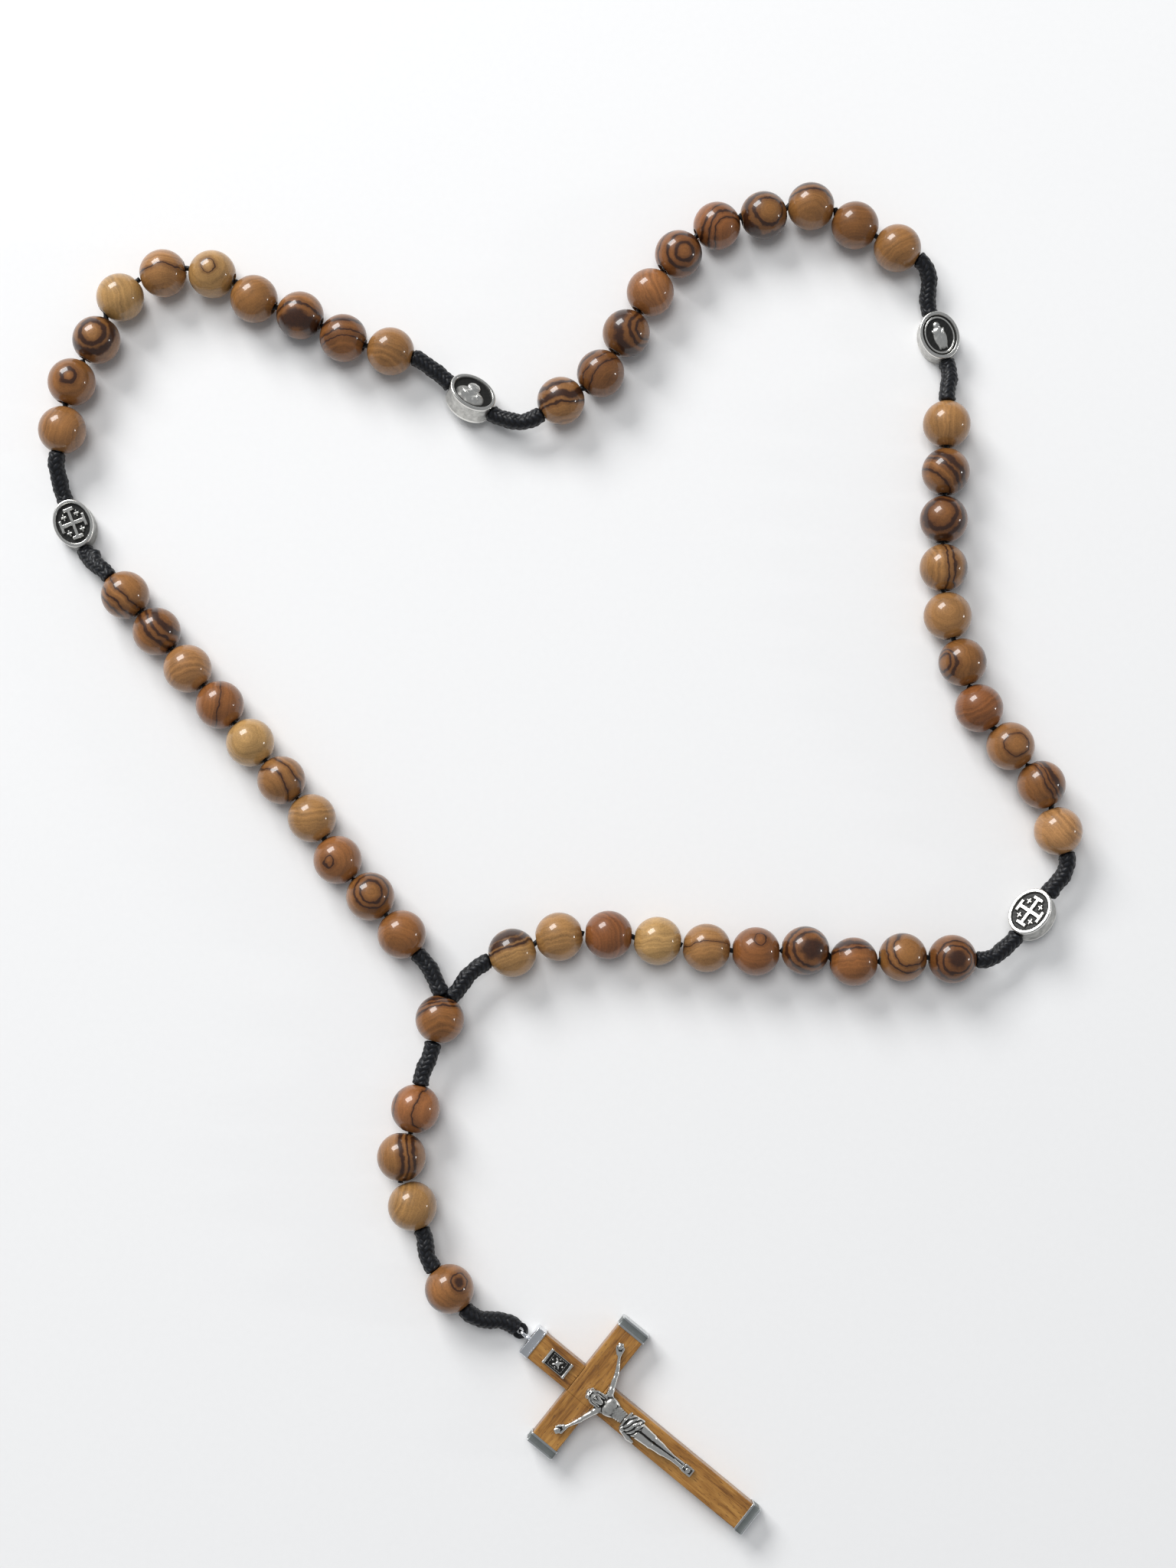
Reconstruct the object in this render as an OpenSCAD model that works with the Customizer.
// Five-decade cord rosary, laid flat with its loop spread and its pendant turned to one side.
// Millimetres, +Z up, resting on z = 0 with the whole object's box centred on the origin.

/* [Beads] */
// Diameter of every wooden bead
bead_d = 8; // [7:0.25:8]
// Bore through a strung bead
bore_d = 2.2; // [1.6:0.1:2.6]
// Wider bore of the centre bead, where three strands meet
centre_bore_d = 2.9; // [2.9:0.1:3.4]
// Slack between two beads that touch
bead_gap = 0.15; // [0.1:0.05:0.3]

/* [Cord] */
// Diameter of a wrapped section
wrap_d = 2.9; // [2.4:0.1:3.2]
// Diameter of the plain string inside the beads
string_d = 0.8; // [0.6:0.1:1]
// Share of a wrapped section's width that is left at its two ends
wrap_taper = 0.48; // [0.4:0.02:0.5]

/* [Medals] */
// Length along the string
medal_l = 8.4; // [7:0.2:9]
// Width across the string
medal_w = 6.6; // [5.6:0.2:7]
// Thickness from face to face
medal_t = 4; // [3.2:0.2:4.4]
// Width of the raised rim
medal_rim = 0.7; // [0.5:0.1:1]
// Depth of the field inside the rim
medal_sink = 0.4; // [0.2:0.1:0.6]
// Bore along the string
medal_bore_d = 1.8; // [1.4:0.1:2]
// Roll of the two medals that don't lie flat
medal_roll = 28; // [0:1:35]

/* [Crucifix] */
// Length over both end caps
cross_l = 46.4; // [42:0.2:50]
// Length of the crossbar over both end caps
crossbar_l = 25.4; // [22:0.2:28]
// Width of the wooden bars
bar_w = 4.9; // [4.4:0.1:5.4]
// Thickness of the wooden bars
bar_t = 3.6; // [3:0.2:4]
// Wall of the metal end caps
cap_wall = 0.2; // [0.15:0.05:0.3]
// Length of the metal end caps along their bar
cap_l = 1.7; // [1.2:0.1:2.2]
// Distance from the top end to the middle of the crossbar
crossing_x = 12.4; // [11:0.2:14]
// Ring radius of the hanging eye, to the middle of its wire
eye_r = 0.9; // [0.9:0.05:1.1]
// Wire diameter of the hanging eye
eye_wire_d = 0.56; // [0.4:0.02:0.6]
// Ring radius of the cord end loop, to the middle of its cord
end_loop_r = 0.95; // [0.95:0.05:1.1]
// Cord diameter of the end loop
end_loop_d = 0.8; // [0.5:0.05:0.8]

/* [Hidden] */
$fn = 64;
bead_r = bead_d / 2;
pitch = bead_d + bead_gap;
face_gap = 0.05;

// Each decade: middle of its first bead, heading of each step to the next bead, extra slack a step.
DECADES = [
    [[-7.2, -18.1], [19, 2, -7, -8, -4, 1, -13, 5, -2], 0],
    [[83.1, 2.0], [109, 128, 129, 109, 107, 94, 89, 87, 88], 0],
    [[57.6, 100.8], [151, 156, 191, 193, 217, 234, 240, 238, 215], 0],
    [[-28.0, 83.0], [164, 152, 160, 149, 179, 210, 242, 241, 260], 0.15],
    [[-72.0, 41.5], [-49, -50, -48, -51, -50, -51, -58, -48, -50], 0]
];

// Each medal: its middle, the heading of its bore and its roll about the bore.
MEDALS = [
    [[78.7, -11.8], 53, -medal_roll],
    [[64.6, 85.9], 108, 0],
    [[-14.5, 75.1], 144, medal_roll],
    [[-81.0, 53.7], -68, 0]
];

centre_at = [-19.1, -29.0, bead_r];
centre_heading = -105;
PENDANT_HEADINGS = [-106, -77];
pendant_start = [-23.0, -43.6, bead_r];
PENDANT_BORES = [-101, -92, -68];
lower_at = [-17.3, -72.7, bead_r];
lower_heading = -52;

cross_top = [-4.4, -80.8, 0];
cross_heading = -39;
cap_w = bar_w + 2 * cap_wall;
cap_t = bar_t + 2 * cap_wall;
bar_top = bar_t + cap_wall;
eye_x = -eye_r;
end_loop_x = eye_x - end_loop_r;
end_loop_end_x = end_loop_x - end_loop_r - end_loop_d / 2;

// Corpus, measured along the upright from its top end and across from its middle line.
head_x = 14.0;
head_r = 1.25;
neck_x = 15.6;
hand_x = 12.6;
hand_y = 8.3;
elbow_x = 15.0;
elbow_y = 5.0;
shoulder_x = 16.7;
shoulder_y = 1.9;
waist_x = 20.2;
hip_x = 22.4;
knee_x = 26.6;
foot_x = 31.2;
rest_end_x = 33.8;
plate_x = 6.1;
plate_l = 4.0;
plate_w = 2.6;
plate_t = 0.5;
nail_d = 0.5;
nail_head_d = 0.85;
nail_len = 2.2;

wood = "peru";
cord_black = [0.06, 0.06, 0.07];
silver = [0.72, 0.72, 0.70];

PAIR_NODES = [for (d = [1:5], p = [0:4]) str("decade", d, "_beads_", 2 * p + 1, "_", 2 * p + 2)];
MEDAL_NODES = [for (m = [1:4]) str("medal_", m)];

// ---- Directions and routes ----

function heading(a) = [cos(a), sin(a), 0];

function unit(v) = v / norm(v);

// Middle of bead i of decade d, both counted from 0.
function bead_at(d, i) = i == 0
    ? [DECADES[d][0].x, DECADES[d][0].y, bead_r]
    : bead_at(d, i - 1) + (pitch + DECADES[d][2]) * heading(DECADES[d][1][i - 1]);

// Heading of the bore that the two beads of pair p share.
function pair_heading(d, p) = DECADES[d][1][2 * p];

function bore_in(at, a) = at - (bead_r + face_gap) * heading(a);

function bore_out(at, a) = at + (bead_r + face_gap) * heading(a);

function decade_in(d) = bore_in(bead_at(d, 0), pair_heading(d, 0));

function decade_out(d) = bore_out(bead_at(d, 9), pair_heading(d, 4));

function medal_z(m) = medal_w / 2 * sin(abs(MEDALS[m][2])) + medal_t / 2 * cos(MEDALS[m][2]);

function medal_at(m) = [MEDALS[m][0].x, MEDALS[m][0].y, medal_z(m)];

function medal_in(m) = medal_at(m) - (medal_l / 2 + face_gap) * heading(MEDALS[m][1]);

function medal_out(m) = medal_at(m) + (medal_l / 2 + face_gap) * heading(MEDALS[m][1]);

function pendant_at(i) = i == 0
    ? pendant_start
    : pendant_at(i - 1) + pitch * heading(PENDANT_HEADINGS[i - 1]);

// Where a strand meets the centre bead's upper mouth, side = -1 or 1 across the bore.
strand_spread = 11.5;
function centre_mouth(side) = bore_out(centre_at, centre_heading + 180 - side * strand_spread);

centre_foot = bore_out(centre_at, centre_heading);
eye_z = cap_t / 2;
wrap_end = cross_top + end_loop_end_x * heading(cross_heading) + [0, 0, eye_z];

// A smooth curve of cord from p, leaving along unit vector u, to q, arriving along unit vector v.
// Its two ends are short straight stubs, so that their faces lie square on the bores.
wrap_steps = 5;
wrap_stub = 0.15;
wrap_pull = 0.36;
function wrap_point(p, u, q, v, t) =
    let (a = p + wrap_pull * norm(q - p) * u, b = q - wrap_pull * norm(q - p) * v)
    pow(1 - t, 3) * p + 3 * t * pow(1 - t, 2) * a + 3 * t * t * (1 - t) * b + pow(t, 3) * q;

function wrap_route(p, u, q, v) = [
    p,
    p + wrap_stub * u,
    for (k = [1:wrap_steps - 1]) wrap_point(p, u, q, v, k / wrap_steps),
    q - wrap_stub * v,
    q
];

end_r = wrap_d / 2 * wrap_taper;
wrap_radii = [end_r, end_r, for (k = [1:wrap_steps - 1]) wrap_d / 2, end_r, end_r];

function tangent(pts, k) = unit(pts[min(k + 1, len(pts) - 1)] - pts[max(k - 1, 0)]);

function ring(at, along, r, sides) =
    let (side = unit(cross([0, 0, 1], along)), up = cross(along, side))
    [for (s = [0:sides - 1]) at + r * (cos(360 * s / sides) * side + sin(360 * s / sides) * up)];

// A closed tube along pts, with a radius at each point.
module tube(pts, radii, sides) {
    rings = len(pts);
    points = [for (k = [0:rings - 1]) each ring(pts[k], tangent(pts, k), radii[k], sides)];
    walls = [
        for (k = [0:rings - 2], s = [0:sides - 1])
            let (a = k * sides + s, b = k * sides + (s + 1) % sides)
            each [[a, b, b + sides], [a, b + sides, a + sides]]
    ];
    near_end = [for (s = [1:sides - 2]) [0, s + 1, s]];
    last = (rings - 1) * sides;
    far_end = [for (s = [1:sides - 2]) [last, last + s, last + s + 1]];
    polyhedron(points, concat(walls, near_end, far_end));
}

// ---- Beads ----

module bead(at, a, hole_d) {
    color(wood)
    translate(at)
    rotate([0, 90, a])
    rotate_extrude()
    intersection() {
        circle(d = bead_d);
        translate([hole_d / 2, -bead_d]) square([bead_d, 2 * bead_d]);
    }
}

module bead_pair(d, p) {
    for (i = [2 * p, 2 * p + 1]) bead(bead_at(d, i), pair_heading(d, p), bore_d);
}

// ---- Wrapped sections of cord ----

wrap_sides = 8;
module wrap(p, u, q, v) {
    color(cord_black) tube(wrap_route(p, u, q, v), wrap_radii, wrap_sides);
}

// From the last bead of decade d to the medal after it.
module wrap_to_medal(d, m) {
    wrap(decade_out(d), heading(pair_heading(d, 4)), medal_in(m), heading(MEDALS[m][1]));
}

// From a medal to the first bead of the decade after it.
module wrap_from_medal(m, d) {
    wrap(medal_out(m), heading(MEDALS[m][1]), decade_in(d), heading(pair_heading(d, 0)));
}

// The two strands of the loop leave the centre bead splayed apart, to its right and to its left.
junction_splay = 32;
module wrap_centre_decade1() {
    rightward = centre_heading + 180 - junction_splay;
    wrap(centre_mouth(1), heading(rightward), decade_in(0), heading(pair_heading(0, 0)));
}

module wrap_decade5_centre() {
    from_the_left = centre_heading + junction_splay;
    wrap(decade_out(4), heading(pair_heading(4, 4)), centre_mouth(-1), heading(from_the_left));
}

module wrap_pendant_top() {
    first_bore = PENDANT_BORES[0];
    wrap(centre_foot, heading(centre_heading), bore_in(pendant_at(0), first_bore), heading(first_bore));
}

module wrap_pendant_lower() {
    wrap(bore_out(pendant_at(2), PENDANT_BORES[2]), heading(PENDANT_BORES[2]),
        bore_in(lower_at, lower_heading), heading(lower_heading));
}

module wrap_crucifix() {
    wrap(bore_out(lower_at, lower_heading), heading(lower_heading), wrap_end, heading(cross_heading));
}

// ---- The string inside the beads ----

string_sides = 6;
module strand(pts) {
    color(cord_black) tube(pts, [for (p = pts) string_d / 2], string_sides);
}

// The string runs straight through each pair and bends only between pairs. Where two pairs turn
// sharply it slips sideways from one mouth into the next, and that short crossing is left open.
sharp_bend = 15;
function bend_after(d, p) = abs(pair_heading(d, p + 1) - pair_heading(d, p));

function run_end(d, p) = p == 4 || bend_after(d, p) > sharp_bend ? p : run_end(d, p + 1);

function strand_run(d, first, last) = [
    for (p = [first:last]) each [
        bore_in(bead_at(d, 2 * p), pair_heading(d, p)),
        bore_out(bead_at(d, 2 * p + 1), pair_heading(d, p))
    ]
];

module decade_strands(d) {
    for (p = [0:4]) if (p == 0 || bend_after(d, p - 1) > sharp_bend)
        strand(strand_run(d, p, run_end(d, p)));
}

// The two loop strands are tied together half-way into the centre bead, and end inside its mouth.
tie_half = 0.6;
tie_up = 1;
strand_inset = 0.5;
function tie_point(side) = centre_at
    - tie_up * heading(centre_heading) + side * tie_half * heading(centre_heading + 90);

function strand_end(side) = centre_mouth(side)
    - strand_inset * heading(centre_heading + 180 - side * strand_spread);

module loop_string() {
    for (d = [0:4]) decade_strands(d);
    for (m = [0:3]) strand([medal_in(m), medal_out(m)]);
    strand([strand_end(-1), tie_point(-1), tie_point(1), strand_end(1)]);
}

module pendant_string() {
    strand([centre_at, centre_foot]);
    strand([
        for (i = [0:2]) each [
            bore_in(pendant_at(i), PENDANT_BORES[i]),
            bore_out(pendant_at(i), PENDANT_BORES[i])
        ]
    ]);
    strand([bore_in(lower_at, lower_heading), bore_out(lower_at, lower_heading)]);
}

// ---- Medals ----

oval_sides = 40;
module oval(l, w) {
    polygon([for (s = [0:oval_sides - 1])
        [l / 2 * cos(360 * s / oval_sides), w / 2 * sin(360 * s / oval_sides)]]);
}

module medal_face_sink() {
    translate([0, 0, medal_t / 2 - medal_sink])
    linear_extrude(1) oval(medal_l - 2 * medal_rim, medal_w - 2 * medal_rim);
}

cross_arm = 3.4;
cross_bar_w = 0.7;
cross_foot_w = 1.5;
module medal_cross() {
    for (turn = [0, 90]) rotate([0, 0, turn]) {
        square([cross_arm, cross_bar_w], center = true);
        for (end = [-1, 1]) translate([end * cross_arm / 2, 0])
            square([cross_bar_w, cross_foot_w], center = true);
    }
}

figure_l = 4.6;
figure_w = 1.8;
module medal_figure() {
    translate([-figure_l / 8, 0]) square([figure_l * 3 / 4, figure_w], center = true);
    translate([figure_l / 3, 0]) circle(d = figure_w * 3 / 4);
}

relief_h = 0.3;
module medal(m) {
    color(silver)
    translate(medal_at(m))
    rotate([0, 0, MEDALS[m][1]])
    rotate([MEDALS[m][2], 0, 0])
    difference() {
        union() {
            difference() {
                linear_extrude(medal_t, center = true) oval(medal_l, medal_w);
                for (flip = [0, 180]) rotate([flip, 0, 0]) medal_face_sink();
            }
            for (flip = [0, 180]) rotate([flip, 0, 0])
                translate([0, 0, medal_t / 2 - medal_sink - relief_h])
                linear_extrude(2 * relief_h)
                if (m == 0 || m == 3) medal_cross(); else medal_figure();
        }
        rotate([0, 90, 0]) cylinder(h = medal_l + 2, d = medal_bore_d, center = true);
    }
}

// ---- Crucifix, drawn along +X from its top end, face up ----

module on_crucifix() {
    translate(cross_top) rotate([0, 0, cross_heading]) children();
}

// A block from x0 to x1, centred across, from z0 to z1.
module block(x0, x1, w, z0, z1) {
    translate([x0, -w / 2, z0]) cube([x1 - x0, w, z1 - z0]);
}

module nail_holes(places) {
    for (at = places) translate([at.x, at.y, bar_top - nail_len]) cylinder(h = nail_len + 1, d = nail_d);
}

UPRIGHT_NAILS = [[plate_x, 0], [foot_x + 1.6, 0]];
CROSSBAR_NAILS = [[hand_x, -hand_y], [hand_x, hand_y]];
lap_z = cap_wall + bar_t / 2;
module upright() {
    color(wood)
    on_crucifix()
    difference() {
        block(cap_wall, cross_l - cap_wall, bar_w, cap_wall, bar_top);
        block(crossing_x - bar_w / 2, crossing_x + bar_w / 2, bar_w + 1, lap_z, bar_top + 1);
        nail_holes(UPRIGHT_NAILS);
    }
}

module crossbar() {
    color(wood)
    on_crucifix()
    difference() {
        translate([crossing_x - bar_w / 2, -crossbar_l / 2 + cap_wall, cap_wall])
            cube([bar_w, crossbar_l - 2 * cap_wall, bar_t]);
        block(crossing_x - bar_w, crossing_x + bar_w, bar_w, -1, lap_z);
        nail_holes(CROSSBAR_NAILS);
    }
}

// A folded sheet-metal cap, open towards +X, with its outer end on x = 0.
module end_cap() {
    difference() {
        block(0, cap_l, cap_w, 0, cap_t);
        block(cap_wall, cap_l + 1, bar_w, cap_wall, bar_top);
    }
}

module hanging_eye() {
    translate([eye_x, 0, eye_z])
    rotate([90, 0, 0])
    rotate_extrude() translate([eye_r, 0]) circle(d = eye_wire_d, $fn = 24);
}

module top_cap() {
    color(silver)
    on_crucifix()
    union() {
        end_cap();
        difference() {
            hanging_eye();
            block(cap_wall / 2, 1, bar_w, 0, cap_t);
        }
    }
}

module foot_cap() {
    color(silver) on_crucifix() translate([cross_l, 0, 0]) rotate([0, 0, 180]) end_cap();
}

module crossbar_cap(side) {
    color(silver)
    on_crucifix()
    translate([crossing_x, side * crossbar_l / 2, 0])
    rotate([0, 0, -90 * side])
    end_cap();
}

module end_loop() {
    color(cord_black)
    on_crucifix()
    translate([end_loop_x, 0, eye_z])
    rotate_extrude() translate([end_loop_r, 0]) circle(d = end_loop_d, $fn = 24);
}

scroll_d = 0.7;
module title_plate() {
    color(silver)
    on_crucifix()
    difference() {
        union() {
            block(plate_x - plate_l / 2, plate_x + plate_l / 2, plate_w, bar_top, bar_top + plate_t);
            for (end = [-1, 1]) translate([plate_x + end * plate_l / 2, 0, bar_top + scroll_d / 2])
                rotate([90, 0, 0]) cylinder(h = plate_w + 0.3, d = scroll_d, center = true);
        }
        nail_holes(UPRIGHT_NAILS);
    }
}

// ---- Corpus: a plain cast figure with a flat back ----

limb_fn = 16;
module limb(p, q, r0, r1) {
    hull() {
        translate(p) sphere(r = r0, $fn = limb_fn);
        translate(q) sphere(r = r1, $fn = limb_fn);
    }
}

arm_r = 0.42;
shoulder_r = 0.6;
neck_r = 0.8;
chest_r = 0.9;
waist_r = 0.75;
waist_y = 0.65;
hip_r = 1.4;
knee_r = 0.95;
ankle_r = 0.55;
leg_z = 0.75;
rest_w = 1.8;
rest_h = 0.7;
overlap = 0.4;

module arm(side) {
    hand = [hand_x, side * hand_y, arm_r];
    elbow = [elbow_x, side * elbow_y, arm_r];
    limb(hand, elbow, arm_r, arm_r);
    limb(elbow, [shoulder_x, side * shoulder_y, chest_r], arm_r, shoulder_r);
}

module trunk() {
    hull() {
        for (side = [-1, 1]) {
            translate([shoulder_x + overlap, side * (shoulder_y - shoulder_r), chest_r])
                sphere(r = chest_r, $fn = limb_fn);
            translate([waist_x, side * waist_y, leg_z]) sphere(r = waist_r, $fn = limb_fn);
        }
    }
}

module corpus() {
    color(silver)
    on_crucifix()
    translate([0, 0, bar_top])
    difference() {
        union() {
            translate([head_x, 0, head_r]) sphere(r = head_r, $fn = limb_fn);
            limb([neck_x, 0, neck_r], [shoulder_x, 0, neck_r], shoulder_r, neck_r);
            for (side = [-1, 1]) arm(side);
            trunk();
            limb([waist_x, 0, leg_z], [hip_x + overlap, 0, chest_r], hip_r, hip_r);
            limb([hip_x + 2 * overlap, 0, chest_r], [knee_x, 0, knee_r], hip_r, knee_r);
            limb([knee_x, 0, knee_r], [foot_x, 0, leg_z], knee_r, ankle_r);
            block(foot_x - overlap, rest_end_x, rest_w, 0, rest_h);
        }
        block(head_x - cross_l, rest_end_x + overlap, crossbar_l, -bar_t, 0);
    }
}

// Round-headed nails through the hands, the footrest and the title plate.
module nails() {
    color(silver)
    on_crucifix() {
        for (at = CROSSBAR_NAILS) nail(at, 2 * arm_r);
        nail(UPRIGHT_NAILS[0], plate_t);
        nail(UPRIGHT_NAILS[1], rest_h);
    }
}

nail_head_h = 0.2;
nail_tip_gap = 0.2;
module nail(at, through) {
    tip = bar_top - nail_len + nail_tip_gap;
    seat = bar_top + through;
    translate([at.x, at.y, tip]) cylinder(h = seat - tip, d = nail_d, $fn = 24);
    translate([at.x, at.y, seat]) cylinder(h = nail_head_h, d = nail_head_d, $fn = 24);
}

// ---- Every piece in its place ----

for (d = [0:4], p = [0:4]) bead_pair(d, p);
for (m = [0:3]) medal(m);
wrap_centre_decade1();
wrap_to_medal(0, 0);  // wrap_decade1_medal_1
wrap_from_medal(0, 1);  // wrap_medal_1_decade2
wrap_to_medal(1, 1);  // wrap_decade2_medal_2
wrap_from_medal(1, 2);  // wrap_medal_2_decade3
wrap_to_medal(2, 2);  // wrap_decade3_medal_3
wrap_from_medal(2, 3);  // wrap_medal_3_decade4
wrap_to_medal(3, 3);  // wrap_decade4_medal_4
wrap_from_medal(3, 4);  // wrap_medal_4_decade5
wrap_decade5_centre();
bead(centre_at, centre_heading, centre_bore_d);  // centre_bead
bead(pendant_at(0), PENDANT_BORES[0], bore_d);  // pendant_bead_1
bead(pendant_at(1), PENDANT_BORES[1], bore_d);  // pendant_bead_2
bead(pendant_at(2), PENDANT_BORES[2], bore_d);  // pendant_bead_3
bead(lower_at, lower_heading, bore_d);  // lower_bead
wrap_pendant_top();
wrap_pendant_lower();
wrap_crucifix();
loop_string();
pendant_string();
upright();
crossbar();
top_cap();
foot_cap();
crossbar_cap(-1);  // left_cap
crossbar_cap(1);  // right_cap
end_loop();
title_plate();
corpus();
nails();
